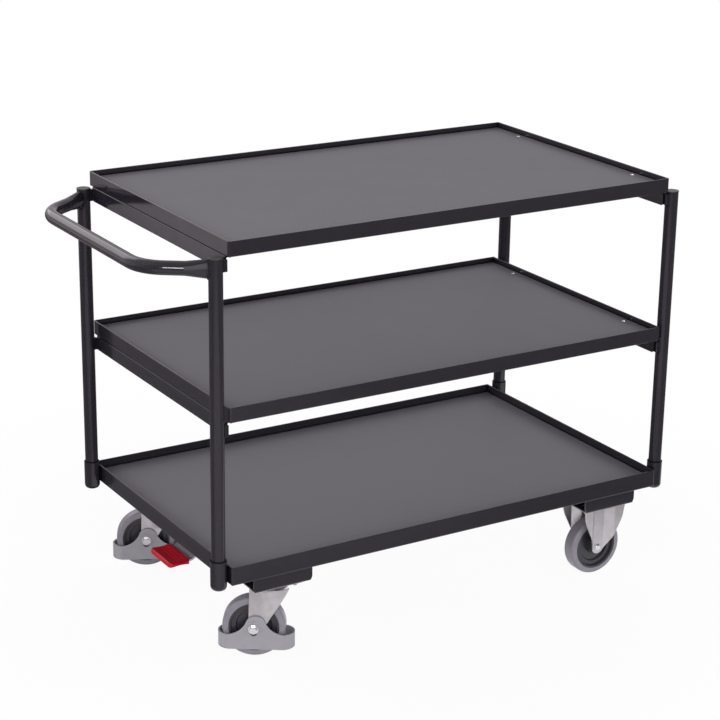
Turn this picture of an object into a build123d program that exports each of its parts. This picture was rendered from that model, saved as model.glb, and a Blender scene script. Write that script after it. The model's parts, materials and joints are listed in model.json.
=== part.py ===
from build123d import *
import os
from math import cos, pi, radians, sin

# A three-shelf table trolley, in millimetres. +X runs along the shelves, away from the push handle,
# +Z is up, and the origin lies on the ground under the middle of the outline.

# Shelf frames of rolled angle steel, with a board in each
shelf_length = 1006.0  # top and middle frames
shelf_width = 606.0
base_end_margin = 3.0  # the bottom frame reaches beyond the others at each end and side
base_side_margin = 10.0
angle_leg = 30.0  # rim and flange of the top and middle frames, and the crossbars
base_rim = 36.5  # the bottom frame's rim is taller
angle_wall = 3.0
root_radius = 2.5
heel_radius = 2.5
toe_radius = 1.0
corner_round = 4.0  # upright edges where two rims meet
board_thickness = 15.0
board_gap = 0.5
shelf_pitch = 316.5  # rim to rim

# Crossbars that carry the top and middle shelves between the posts
crossbar_setback = 14.0
crossbar_clip = 5.0
pad_width = 12.0  # weld pads on the crossbars and the sleeves
pad_margin = 2.0

# Posts, the sleeves that they stand in, and their caps
post_diameter = 26.9
post_wall = 2.3
post_inset = 13.0  # post axis in from the shelves' long side
sleeve_diameter = 32.0
sleeve_fit = 0.2
sleeve_length = 60.0
sleeve_standoff = 0.3
sleeve_floor = 4.0
sleeve_round = 9.0
cap_lip = 0.5
cap_thickness = 2.5
cap_round = 1.0
plug_depth = 14.0
plug_fit = 0.1

# Push handle of bent tube with pressed ends
handle_diameter = 26.9
handle_wall = 2.3
handle_reach = 112.5  # post axis to grip axis
handle_drop = 51.5  # top rim to grip axis
handle_splay = 34.0  # arms lean inwards, degrees
handle_bend = 81.0
press_length = 42.0
pressed_height = 40.0
pressed_width = 15.0

# Shelf screws at the far end, countersunk flush with the boards
screw_diameter = 5.0
screw_head = 9.4
screw_row = 202.0  # each side of the middle
screw_fit = 0.2
nut_flats = 8.0
nut_height = 4.0
screw_end = 2.0

# Channel brackets between the bottom frame and the casters
bracket_length = 128.0
bracket_width = 110.0
bracket_height = 34.0
bracket_wall = 3.0
bracket_bend = 4.0
bracket_setback = 13.0
bracket_clip_length = 4.0
bracket_clip_height = 10.0
swivel_inset = 118.0  # from the frame's end to the caster's middle
fixed_inset = 107.0

# Casters
wheel_diameter = 125.0
wheel_headroom = 39.0  # the wheel's top to the mounting plate's upper face
tyre_width = 32.0
tyre_depth = 12.5
tyre_shoulder = 6.5
plate_length = 105.0
plate_width = 92.0
plate_thickness = 4.0
plate_corner = 9.0
bolt_pitch_x = 80.0
bolt_pitch_y = 60.0
bolt_diameter = 8.0
bolt_flats = 13.0
bolt_head = 5.3
bolt_nut = 5.5
bolt_end = 4.0
fork_wall = 3.0
fork_gap = 3.0  # tyre to fork leg

# Wheel centre and its bearing
rim_height = 4.0
rim_inset = 1.0
rim_draft = 1.5
web_half = 5.0
web_diameter = 68.0  # floor of the dish
land_rise = 4.5  # the ring between dish and rim stands above the floor
land_draft = 2.0
hub_diameter = 36.0
hub_draft = 0.5
hub_nose = 31.0
hub_nose_height = 4.0
hub_gap = 0.5
bearing_diameter = 24.0
tube_diameter = 15.0
running_fit = 0.05
axle_diameter = 10.0

# Swivel head and fork of the two casters at the handle end
trail = 30.0
front_yaw = -33.0  # how the front fork is turned in the photo, degrees
back_yaw = -26.0
race_depth = 2.5
race_diameter = 62.0
head_gap = 9.5  # plate to fork crown
ball_ring_outer = 58.0
ball_ring_inner = 44.0
swivel_play = 0.3
crown_radius = 37.0
leg_front = 13.0  # flat of the leg before and behind the axle
leg_back = 8.0
wing_reach = 39.0
wing_knee = 26.0  # before the axle, and how far above it
wing_knee_height = 11.0
wing_bulge = 14.0
wing_foot = 0.4  # what is left of the bulge where the wing runs out
wing_start_rise = 27.5  # above the axle
eye_radius = 10.5
kingpin_diameter = 18.0
kingpin_head = 30.0
kingpin_head_height = 3.0
kingpin_collar = 28.0
kingpin_collar_height = 5.0

# Fixed fork: each leg is a flat web between two steps that fold out to the plate's edge
fixed_flat = 14.0
fixed_step = 29.0
fixed_step_out = 17.0
fixed_reach = 52.0
fixed_flange_out = 20.0
fixed_bend = 5.0
fixed_knee = 47.5
fixed_knee_height = 68.0  # above the axle
fixed_knee_round = 70.0
fixed_eye = 14.5
rivet_head = 14.0
rivet_height = 3.5
rivet_round = 3.0

# Axle bolt of the swivel casters
axle_flange = 20.0
axle_flange_height = 1.8
axle_flats = 14.0
axle_head = 6.4
axle_head_chamfer = 1.2
collar_diameter = 13.4
guard_side_gap = 0.4
axle_side_gap = 0.3

# Foot guard, a loop round the wheel that hangs on the axle in a slot
guard_reach = 13.0  # beyond the wheel at each end
guard_offset = 4.0  # the loop's middle before the axle
guard_wall = 3.0
guard_foot_drop = 43.5  # below the axle
guard_rim_drop = 12.5
guard_peak_rise = 27.5
guard_neck = 17.0
guard_neck_drop = 9.0
guard_sweep = 56.0
guard_sag = 10.0
guard_sag_at = 31.0
slot_fit = 0.3
guard_lift = 8.0
dimple_diameter = 4.0
dimple_depth = 1.2
dimple_height = 17.0  # above the axle

# Central brake: pedal, lever, shaft, cam fingers and plungers
shaft_flats = 11.0
shaft_offset = 7.0  # shaft axis beyond the kingpin axis
shaft_height = 18.5  # above the brackets' lower face
shaft_overhang = 8.0
bush_diameter = 18.0
bush_flange = 23.0
bush_flange_height = 2.0
bush_length = 9.0
finger_width = 10.0
finger_hub = 17.0
finger_nose = 4.0
finger_drop = 6.0
brake_travel = 2.4
cam_gap = 0.3
plunger_diameter = 8.0
plunger_fit = 0.1
plunger_head = 14.0
plunger_head_height = 2.2
shoe_gap = 0.5
shoe_width = 22.0
shoe_front = 12.0
shoe_back = 14.0
shoe_clearance = 2.0  # under the kingpin's collar
lever_wall = 4.0
lever_width = 80.0
lever_hub = 22.0
lever_bend = 12.0
pedal_width = 95.0
pedal_depth = 46.0
pedal_thickness = 11.0
pedal_dish = 3.0
pedal_corner = 9.0
pedal_edge = 3.0
tread_ribs = 3
tread_rib_width = 3.0
tread_rib_height = 0.8
tread_rib_pitch = 7.0
tread_rib_margin = 9.0  # from the pedal's ends, and from its edge at the lever
pedal_drop = 30.5  # the pedal's middle below the brackets
pedal_grip = 34.0  # lever plate inside the pedal

# Places that follow from the sizes above
caster_height = wheel_diameter + wheel_headroom
base_length = shelf_length + 2 * base_end_margin
base_width = shelf_width + 2 * base_side_margin
base_foot = caster_height + bracket_height
base_top = base_foot + base_rim
middle_top = base_top + shelf_pitch
top_top = middle_top + shelf_pitch
middle_foot = middle_top - angle_leg
top_foot = top_top - angle_leg
post_x = base_length / 2 + sleeve_standoff + sleeve_diameter / 2
post_y = shelf_width / 2 - post_inset
sleeve_foot = base_top - base_rim / 2 - sleeve_length / 2
post_foot = sleeve_foot + sleeve_floor
post_top = top_foot - cap_thickness
handle_z = top_top - handle_drop
screw_x = shelf_length / 2 - angle_leg / 2
swivel_x = -(base_length / 2 - swivel_inset)
fixed_x = base_length / 2 - fixed_inset
caster_y = base_width / 2 - bracket_setback - bracket_width / 2
axle_z = wheel_diameter / 2
wing_start_height = axle_z + wing_start_rise
guard_length = wheel_diameter + 2 * guard_reach
guard_foot_height = axle_z - guard_foot_drop
guard_rim_height = axle_z - guard_rim_drop
guard_peak_height = axle_z + guard_peak_rise
rim_radius = axle_z - tyre_depth
leg_inner = tyre_width / 2 + fork_gap
leg_outer = leg_inner + fork_wall
plate_foot = caster_height - plate_thickness
crown_top = plate_foot - head_gap
crown_foot = crown_top - fork_wall
collar_top = crown_foot - swivel_play
collar_foot = collar_top - kingpin_collar_height
guard_inner = leg_outer + guard_side_gap
guard_outer = guard_inner + guard_wall
slot_width = collar_diameter + 2 * slot_fit
shaft_x = swivel_x + shaft_offset
shaft_z = caster_height + shaft_height
nose_foot = shaft_z - finger_drop - finger_nose
pedal_x = -base_length / 2
pedal_height = caster_height - pedal_drop

# The outline reaches further at the handle than at the far posts, so the shelves stand off centre
outline_shift = (handle_reach + handle_diameter / 2 - sleeve_diameter / 2) / 2

hex_sides = 6
up = (Align.CENTER, Align.CENTER, Align.MIN)
corner = (Align.MIN, Align.MIN)


def save(name, *solids):
    moved = [Pos(outline_shift, 0, 0) * solid for solid in solids]
    export_step(Compound(children=moved), f"parts/{name}.step")


def half_turn(solid):
    return Rot(0, 0, 180) * solid


def rod(radius, foot, top, x=0.0, y=0.0):
    return Pos(x, y, foot) * Cylinder(radius, top - foot, align=up)


def across(radius, half_length, z=0.0, x=0.0):
    # a round bar along Y, centred on the XZ plane
    return Pos(x, 0, z) * Rot(90, 0, 0) * Cylinder(radius, 2 * half_length)


def hex_corner(flats):
    return flats / 2 / cos(pi / hex_sides)


def hex_prism(flats, height):
    return extrude(RegularPolygon(flats / 2, hex_sides, major_radius=False), height)


def turned(points):
    # a profile of radius and height, turned about Z
    return revolve(Plane.XZ * make_face(Polyline(*points, close=True)), Axis.Z)


# Angle steel: u runs inwards from the rim's outer face, v up from the flange's underside
def angle_section(rim):
    shape = Rectangle(angle_wall, rim, align=corner)
    shape += Rectangle(angle_leg, angle_wall, align=corner)
    shape = fillet(shape.vertices().sort_by_distance((angle_wall, angle_wall))[0], root_radius)
    shape = fillet(shape.vertices().sort_by_distance((0, 0))[0], heel_radius)
    toes = [(0, rim), (angle_wall, rim), (angle_leg, angle_wall)]
    for toe in toes:
        shape = fillet(shape.vertices().sort_by_distance(toe)[0], toe_radius)
    return shape


def long_rail(size, rim, foot):
    length, width = size
    start = Plane((-length / 2, -width / 2, foot), x_dir=(0, 1, 0), z_dir=(1, 0, 0))
    bar = extrude(start * angle_section(rim), length)
    outer = length / 2
    inner = outer - angle_leg
    side = -width / 2
    toe = side + angle_leg
    mitred = Polygon((-outer, side), (outer, side), (inner, toe), (-inner, toe), align=None)
    mitred &= RectangleRounded(length, width, corner_round)
    return bar & extrude(Pos(0, 0, foot) * mitred, rim)


def end_rail(size, rim, foot):
    length, width = size
    start = Plane((-length / 2, width / 2, foot), x_dir=(1, 0, 0), z_dir=(0, -1, 0))
    bar = extrude(start * angle_section(rim), width)
    outer = width / 2
    inner = outer - angle_leg
    side = -length / 2
    toe = side + angle_leg
    mitred = Polygon((side, -outer), (toe, -inner), (toe, inner), (side, outer), align=None)
    mitred &= RectangleRounded(length, width, corner_round)
    return bar & extrude(Pos(0, 0, foot) * mitred, rim)


def screw_places():
    return [(screw_x, -screw_row), (screw_x, screw_row)]


def screw_holes(foot):
    holes = []
    for x, y in screw_places():
        holes.append(rod(screw_diameter / 2 + screw_fit, foot - angle_leg, foot + base_rim, x, y))
    return holes


def shelf_screw(foot):
    # countersunk head flush with the board, the shank down through both flanges
    top = foot + angle_wall + board_thickness
    tip = foot - angle_wall - nut_height - screw_end
    slope = (screw_head - screw_diameter) / 2
    shank = screw_diameter / 2
    return turned([(0, tip), (shank, tip), (shank, top - slope), (screw_head / 2, top), (0, top)])


def shelf_nut(foot):
    nut = Pos(0, 0, foot - angle_wall - nut_height) * hex_prism(nut_flats, nut_height)
    return nut - rod(screw_diameter / 2, foot - angle_leg, foot)


def board(size, foot, screwed):
    length, width = [side - 2 * (angle_wall + board_gap) for side in size]
    slab = Pos(0, 0, foot + angle_wall) * Box(length, width, board_thickness, align=up)
    slab = chamfer(slab.edges().group_by(Axis.Z)[0], root_radius)
    if screwed:
        slab -= screw_holes(foot)
        for x, y in screw_places():
            slab -= Pos(x, y, 0) * shelf_screw(foot)
    return slab


def crossbar(foot):
    # the angle hangs flange up under the shelf, its leg level with the rim's outer face
    half = shelf_width / 2 - crossbar_setback
    start = Plane((-shelf_length / 2, -half, foot), x_dir=(1, 0, 0), z_dir=(0, 1, 0))
    bar = extrude(start * angle_section(angle_leg), 2 * half)
    low = -angle_leg
    clip = half - crossbar_clip
    outline = Polygon((-half, low + crossbar_clip), (-clip, low), (clip, low), (half, low + crossbar_clip),
                      (half, 0), (-half, 0), align=None)
    face = Plane((-shelf_length / 2, 0, foot), x_dir=(0, 1, 0), z_dir=(1, 0, 0))
    bar &= extrude(face * outline, angle_leg)
    # a weld pad hollowed to the post at each end
    pad_height = angle_leg - heel_radius - 2 * pad_margin
    pad_length = post_x - shelf_length / 2
    for y in (-post_y, post_y):
        pad = Pos(-shelf_length / 2 - pad_length / 2, y, foot - heel_radius - pad_margin - pad_height / 2)
        bar += pad * Box(pad_length, pad_width, pad_height) - rod(post_diameter / 2, 0, top_top, -post_x, y)
    return bar


def post():
    return rod(post_diameter / 2, post_foot, post_top) - rod(post_diameter / 2 - post_wall, 0, top_top)


def post_cap():
    lip = post_diameter / 2 + cap_lip
    disc = fillet(rod(lip, post_top, top_foot).edges().group_by(Axis.Z)[-1], cap_round)
    return disc + rod(post_diameter / 2 - post_wall - plug_fit, post_top - plug_depth, post_top)


def post_sleeve():
    cup = rod(sleeve_diameter / 2, sleeve_foot, sleeve_foot + sleeve_length)
    cup = fillet(cup.edges().group_by(Axis.Z)[0], sleeve_round)
    # a weld pad towards the frame's end
    pad_foot = base_foot + heel_radius + pad_margin
    pad_height = base_top - toe_radius - pad_margin - pad_foot
    reach = post_x - base_length / 2
    cup += Pos(reach / 2, 0, pad_foot) * Box(reach, pad_width, pad_height, align=up)
    return cup - rod(post_diameter / 2 + sleeve_fit, post_foot, sleeve_foot + 2 * sleeve_length)


def at_posts(solid):
    near = [Pos(-post_x, y, 0) * solid for y in (-post_y, post_y)]
    return near + [half_turn(piece) for piece in reversed(near)]


def push_handle():
    lean = Vector(-cos(radians(handle_splay)), sin(radians(handle_splay)), 0)
    root = Vector(-post_x, -post_y, handle_z)
    start = root + lean * (post_diameter / 2 + press_length)
    bend = root + lean * (handle_reach / cos(radians(handle_splay)))
    route = FilletPolyline(
        start, bend, Vector(bend.X, -bend.Y, bend.Z), Vector(start.X, -start.Y, start.Z), radius=handle_bend
    )
    side = Vector(0, 0, 1).cross(lean)
    round_end = Plane(start, x_dir=side, z_dir=lean)
    pressed_end = Plane(root, x_dir=side, z_dir=lean)
    skins = []
    for inset in (0, handle_wall):
        circle = Circle(handle_diameter / 2 - inset)
        oval = Ellipse(pressed_width / 2 - inset, pressed_height / 2 - inset)
        arm = loft([round_end * circle, pressed_end * oval])
        skins.append(sweep(round_end * circle, path=route) + arm + mirror(arm, about=Plane.XZ))
    tube = skins[0] - skins[1]
    for y in (-post_y, post_y):
        tube -= rod(post_diameter / 2, 0, 2 * top_top, -post_x, y)
    return max(tube.solids(), key=lambda solid: solid.volume)


# Casters are drawn at the origin with the wheel along X, then set on their brackets
def bolt_places():
    x = bolt_pitch_x / 2
    y = bolt_pitch_y / 2
    return [(-x, -y), (x, -y), (x, y), (-x, y)]


def bolt_holes():
    return [rod(bolt_diameter / 2, 0, base_top, x, y) for x, y in bolt_places()]


def bracket(for_swivel):
    # a channel, flanges up: the outer one under the frame's flange, the inner one up to the board
    wide = bracket_width / 2
    high = bracket_height
    tall = bracket_height + angle_wall
    clear = wide - bracket_wall
    section = Polygon((-wide, 0), (wide, 0), (wide, tall), (clear, tall), (clear, bracket_wall),
                      (-clear, bracket_wall), (-clear, high), (-wide, high), align=None)
    for bend in [(-wide, 0), (wide, 0)]:
        section = fillet(section.vertices().sort_by_distance(bend)[0], bracket_bend)
    start = Plane((-bracket_length / 2, 0, caster_height), x_dir=(0, 1, 0), z_dir=(1, 0, 0))
    channel = extrude(start * section, bracket_length)
    far = bracket_length / 2
    near = far - bracket_clip_length
    outline = Polygon((-far, bracket_clip_height), (-near, 0), (near, 0), (far, bracket_clip_height),
                      (far, tall), (-far, tall), align=None)
    channel &= Pos(0, wide, caster_height) * extrude(Plane.XZ * outline, bracket_width)
    channel -= bolt_holes()
    if for_swivel:
        channel -= rod(kingpin_head / 2 + swivel_play, 0, caster_height + bracket_wall)
        channel -= Pos(0, wide, 0) * across(bush_diameter / 2, bracket_wall, shaft_z, shaft_offset)
    return channel


def on_brackets(x, solid):
    # the back one is the same piece, mirrored across the trolley
    front = Pos(x, -caster_y, 0) * solid
    return [front, mirror(front, about=Plane.XZ)]


def caster_bolt():
    seat = caster_height + bracket_wall
    head = Pos(0, 0, seat) * hex_prism(bolt_flats, bolt_head)
    return head + rod(bolt_diameter / 2, plate_foot - bolt_nut - bolt_end, seat)


def caster_nut():
    nut = Pos(0, 0, plate_foot - bolt_nut) * hex_prism(bolt_flats, bolt_nut)
    return nut - rod(bolt_diameter / 2, 0, base_top)


def at_casters(solid):
    places = []
    for middle in (swivel_x, fixed_x):
        for side in (-caster_y, caster_y):
            places += [Pos(middle + x, side + y, 0) * solid for x, y in bolt_places()]
    return places


def mounting_plate():
    plate = extrude(RectangleRounded(plate_length, plate_width, plate_corner), -plate_thickness)
    return Pos(0, 0, caster_height) * plate - bolt_holes()


def swivel_plate():
    race = rod(race_diameter / 2, plate_foot - race_depth, plate_foot)
    race = chamfer(race.edges().group_by(Axis.Z)[0], race_depth / 2)
    hollow = rod(ball_ring_inner / 2, plate_foot - race_depth, plate_foot)
    return mounting_plate() + (race - hollow) - rod(kingpin_diameter / 2, 0, base_top)


def kingpin():
    pin = rod(kingpin_diameter / 2, collar_foot, caster_height)
    pin += rod(kingpin_head / 2, caster_height, caster_height + kingpin_head_height)
    pin += rod(kingpin_collar / 2, collar_foot, collar_top)
    return pin - rod(plunger_diameter / 2 + plunger_fit, 0, base_top)


def ball_ring():
    foot = crown_top + swivel_play
    top = plate_foot - race_depth
    return rod(ball_ring_outer / 2, foot, top) - rod(ball_ring_inner / 2, foot, top)


def side_outline(middle, radius, corners):
    # a fork leg seen from the side: tangents from the axle's eye up to its corners
    eye = Pos(middle, axle_z) * Circle(radius)
    return make_hull(eye.edges() + Polyline(*corners, close=True).edges())


def wing_section(points, z):
    # the leg's sheet cut level: a flat strip, then an arc through the last three points
    inner = [(x, y - fork_wall) for x, y in points]
    lines = [Line(*points[:2]), ThreePointArc(*points[1:]), Line(points[3], inner[3])]
    lines += [ThreePointArc(*inner[1:]), Line(*inner[:2]), Line(inner[0], points[0])]
    return Pos(0, 0, z) * make_face(lines)


def swivel_fork():
    back = -trail - eye_radius
    crease = -trail + leg_front
    middle = (crease + wing_reach) / 2
    ends = []
    for bulge, z in ((wing_bulge, crown_top), (wing_foot, wing_start_height)):
        flat = [(back, leg_outer), (crease, leg_outer)]
        ends.append(wing_section(flat + [(middle, leg_outer + bulge), (wing_reach, leg_outer)], z))
    leg = loft(ends, ruled=True)
    lower = Box(wing_reach - back, fork_wall, wing_start_height - axle_z + eye_radius, align=up)
    leg += Pos((wing_reach + back) / 2, leg_outer - fork_wall / 2, axle_z - eye_radius) * lower
    rear = -trail - leg_back
    knee = (wing_knee - trail, axle_z + wing_knee_height)
    corners = [knee, (wing_reach, crown_foot), (wing_reach, crown_top), (rear, crown_top)]
    leg &= extrude(Plane.XZ * side_outline(-trail, eye_radius, corners), -plate_width)
    plan = Circle(crown_radius) + Pos(rear / 2, 0) * Rectangle(-rear, 2 * leg_outer)
    crown = extrude(Pos(0, 0, crown_foot) * plan, fork_wall)
    fork = crown + leg + mirror(leg, about=Plane.XZ)
    fork -= rod(kingpin_diameter / 2 + running_fit, 0, base_top)
    return fork - across(axle_diameter / 2, plate_width, axle_z, -trail)


def fixed_fork():
    middle = leg_outer - fork_wall / 2
    step = middle + fixed_step_out
    flange = middle + fixed_flange_out
    half = [(fixed_flat, middle), (fixed_step, step), (fixed_reach, flange)]
    folds = FilletPolyline(*[(-x, y) for x, y in reversed(half)], *half, radius=fixed_bend)
    leg = Pos(0, 0, axle_z - fixed_eye) * extrude(trace(folds, fork_wall), plate_foot - axle_z + fixed_eye)
    knee = axle_z + fixed_knee_height
    wide = [(fixed_knee, knee), (fixed_reach, plate_foot)]
    corners = wide + [(-x, z) for x, z in reversed(wide)]
    outline = side_outline(0, fixed_eye, corners)
    for x in (-fixed_knee, fixed_knee):
        outline = fillet(outline.vertices().sort_by_distance((x, knee))[0], fixed_knee_round)
    leg &= extrude(Plane.XZ * outline, -plate_width)
    fork = mounting_plate() + leg + mirror(leg, about=Plane.XZ)
    return fork - across(axle_diameter / 2, plate_width, axle_z)


# Wheels are turned about Z, then laid on their axle along Y
def lay_on_axle(solid, x):
    return Pos(x, 0, axle_z) * Rot(90, 0, 0) * solid


def tyre(x):
    band = Pos(rim_radius, 0) * Rectangle(tyre_depth, tyre_width, align=(Align.MIN, Align.CENTER))
    for y in (-tyre_width / 2, tyre_width / 2):
        band = fillet(band.vertices().sort_by_distance((wheel_diameter / 2, y))[0], tyre_shoulder)
    return lay_on_axle(revolve(Plane.XZ * band, Axis.Z), x)


def wheel_centre(x):
    bore = bearing_diameter / 2
    nose = hub_nose / 2
    nose_half = leg_inner - hub_gap
    hub = hub_diameter / 2
    hub_half = nose_half - hub_nose_height
    web = web_diameter / 2
    land_half = web_half + land_rise
    rim = rim_radius - rim_height
    rim_half = tyre_width / 2 - rim_inset
    half = [(bore, nose_half), (nose, nose_half), (nose, hub_half), (hub, hub_half),
            (hub + hub_draft, web_half), (web, web_half), (web + land_draft, land_half),
            (rim - rim_draft, land_half), (rim, rim_half), (rim_radius, rim_half)]
    other = [(r, -y) for r, y in reversed(half)]
    return lay_on_axle(turned(half + other), x)


def wheel_bearing(x):
    half = leg_inner - hub_gap
    ring = rod(bearing_diameter / 2, -half, half) - rod(tube_diameter / 2 + running_fit, -half, half)
    return lay_on_axle(ring, x)


def axle_tube(x):
    tube = rod(tube_diameter / 2, -leg_inner, leg_inner) - rod(axle_diameter / 2, -leg_inner, leg_inner)
    return lay_on_axle(tube, x)


def riveted_axle(x):
    # one shouldered bar, its ends riveted over outside the legs
    axle = rod(tube_diameter / 2, -leg_inner, leg_inner) + rod(axle_diameter / 2, -leg_outer, leg_outer)
    head = rod(rivet_head / 2, leg_outer, leg_outer + rivet_height)
    head = fillet(head.edges().group_by(Axis.Z)[-1], rivet_round)
    return lay_on_axle(axle + head + Rot(180, 0, 0) * head, x)


def axle_bolt(x):
    flange_foot = guard_outer + axle_side_gap
    flange_top = flange_foot + axle_flange_height
    head_top = flange_top + axle_head
    head = rod(collar_diameter / 2, leg_outer, flange_foot) + rod(axle_flange / 2, flange_foot, flange_top)
    crown = rod(hex_corner(axle_flats), 0, axle_head)
    crown = chamfer(crown.edges().group_by(Axis.Z)[-1], axle_head_chamfer)
    head += Pos(0, 0, flange_top) * (hex_prism(axle_flats, axle_head) & crown)
    nut = Rot(180, 0, 0) * head - rod(axle_diameter / 2, -head_top, 0)
    bolt = head + rod(axle_diameter / 2, -head_top, leg_outer)
    return [lay_on_axle(bolt, x), lay_on_axle(nut, x)]


def foot_guard():
    loop = SlotOverall(guard_length, 2 * guard_outer)
    loop -= SlotOverall(guard_length - 2 * guard_wall, 2 * guard_inner)
    middle = guard_offset - trail
    guard = extrude(Pos(middle, 0, guard_foot_height) * loop, guard_rim_height - guard_foot_height)
    sag_z = guard_rim_height + guard_sag
    neck_z = guard_peak_height - guard_neck_drop
    left = [(-guard_sweep, guard_rim_height), (-guard_sag_at, sag_z), (-guard_neck, neck_z)]
    right = [(-x, z) for x, z in reversed(left)]
    outline = make_face([
        ThreePointArc(*left),
        ThreePointArc(left[2], (0, guard_peak_height), right[0]),
        ThreePointArc(*right),
        Polyline(right[2], (guard_sweep, guard_foot_height), (-guard_sweep, guard_foot_height), left[0]),
    ])
    cheek = Pos(middle, 0, 0) * extrude(Plane.XZ * outline, guard_wall)
    guard += Pos(0, -guard_inner, 0) * cheek
    guard += Pos(0, guard_outer, 0) * cheek
    slot = Rot(0, 0, 90) * SlotCenterToCenter(guard_lift, slot_width)
    guard -= extrude(Plane.XZ * Pos(-trail, axle_z - guard_lift / 2) * slot, 2 * guard_outer, both=True)
    for side in (-guard_outer, guard_outer):
        guard -= Pos(0, side, 0) * across(dimple_diameter / 2, dimple_depth, axle_z + dimple_height, -trail)
    return guard


# Central brake
def brake_plunger():
    head_top = nose_foot - cam_gap
    shoe_top = collar_foot - shoe_clearance
    stem = rod(plunger_diameter / 2, shoe_top, head_top)
    stem += rod(plunger_head / 2, head_top - plunger_head_height, head_top)
    shoe = Box(shoe_front + shoe_back, shoe_width, shoe_top - axle_z, align=up)
    shoe = Pos((shoe_front - shoe_back) / 2, 0, axle_z) * shoe
    shoe -= across(wheel_diameter / 2, shoe_width, axle_z + brake_travel + shoe_gap, -trail)
    return stem + shoe


def shaft_bar(length):
    return Pos(shaft_x, length / 2, shaft_z) * Rot(90, 0, 0) * hex_prism(shaft_flats, length)


def brake_shaft():
    return shaft_bar(2 * (caster_y + shaft_overhang))


def brake_bush():
    # in the inner flange of the front bracket, its lip towards the middle
    face = -(caster_y - bracket_width / 2)
    bore = hex_corner(shaft_flats) + running_fit
    bush = rod(bush_diameter / 2, 0, bush_length) + rod(bush_flange / 2, 0, bush_flange_height)
    bush -= rod(bore, 0, bush_length)
    return Pos(shaft_x, face + bush_flange_height, shaft_z) * Rot(90, 0, 0) * bush


def brake_finger():
    hub = Circle(finger_hub / 2)
    nose = Pos(-shaft_offset, -finger_drop) * Circle(finger_nose)
    finger = extrude(make_hull(hub.edges() + nose.edges()), finger_width)
    return Pos(shaft_x, -caster_y + finger_width / 2, shaft_z) * Rot(90, 0, 0) * finger - brake_shaft()


def lever_plate():
    inside = pedal_x + pedal_depth - pedal_grip
    knee = pedal_x + pedal_depth + lever_bend / 2
    route = [(inside, pedal_height), (knee, pedal_height), (shaft_x, shaft_z)]
    strip = trace(FilletPolyline(*route, radius=lever_bend), lever_wall)
    plate = Pos(0, lever_width / 2, 0) * extrude(Plane.XZ * strip, lever_width)
    return plate + across(lever_hub / 2, lever_width / 2, shaft_z, shaft_x) - brake_shaft()


def pedal_slab(width, rise=0.0):
    # dished on top, arched below
    left = pedal_x
    right = pedal_x + pedal_depth
    middle = (left + right) / 2
    top = pedal_height + pedal_thickness / 2 + rise
    foot = pedal_height - pedal_thickness / 2
    outline = make_face([
        Line((left, foot), (left, top)),
        ThreePointArc((left, top), (middle, top - pedal_dish), (right, top)),
        Line((right, top), (right, foot)),
        ThreePointArc((right, foot), (middle, foot + pedal_dish), (left, foot)),
    ])
    return Pos(0, width / 2, 0) * extrude(Plane.XZ * outline, width)


def brake_pedal():
    # a moulded tread with raised bars, pushed over the end of the lever plate
    tread = fillet(pedal_slab(pedal_width).edges().filter_by(Axis.Z), pedal_corner)
    tread = fillet(tread.faces().sort_by(Axis.Z)[-1].edges(), pedal_edge)
    raised = pedal_slab(pedal_width - 2 * tread_rib_margin, tread_rib_height)
    first = pedal_x + pedal_depth - tread_rib_margin
    for number in range(tread_ribs):
        bar = Box(tread_rib_width, pedal_width, pedal_thickness, align=up)
        tread += raised & Pos(first - number * tread_rib_pitch, 0, pedal_height) * bar
    return tread - lever_plate()


os.makedirs("parts", exist_ok=True)

shelf_size = (shelf_length, shelf_width)
base_size = (base_length, base_width)
levels = (
    ("top", shelf_size, angle_leg, top_foot),
    ("middle", shelf_size, angle_leg, middle_foot),
    ("bottom", base_size, base_rim, base_foot),
)
for level, size, rim, foot in levels:
    screwed = level != "bottom"
    side = long_rail(size, rim, foot)
    save(f"{level}_long_rails", side, half_turn(side))
    end = end_rail(size, rim, foot)
    far_end = half_turn(end) - screw_holes(foot) if screwed else half_turn(end)
    save(f"{level}_end_rails", end, far_end)
    save(f"{level}_board", board(size, foot, screwed))
    if screwed:
        bar = crossbar(foot)
        save(f"{level}_handle_crossbar", bar)
        save(f"{level}_far_crossbar", half_turn(bar) - screw_holes(foot))

posts = at_posts(post())
for place, solid in zip(("front_handle", "back_handle", "front_far", "back_far"), posts):
    save(f"{place}_post", solid)
save("post_caps", *at_posts(post_cap()))
save("post_sleeves", *at_posts(post_sleeve()))
save("push_handle", push_handle())
feet = (top_foot, middle_foot)
save("shelf_screws", *[Pos(x, y, 0) * shelf_screw(foot) for foot in feet for x, y in screw_places()])
save("shelf_nuts", *[Pos(x, y, 0) * shelf_nut(foot) for foot in feet for x, y in screw_places()])

save("swivel_brackets", *on_brackets(swivel_x, bracket(True)))
save("fixed_brackets", *on_brackets(fixed_x, bracket(False)))
save("caster_bolts", *at_casters(caster_bolt()))
save("caster_nuts", *at_casters(caster_nut()))

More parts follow.
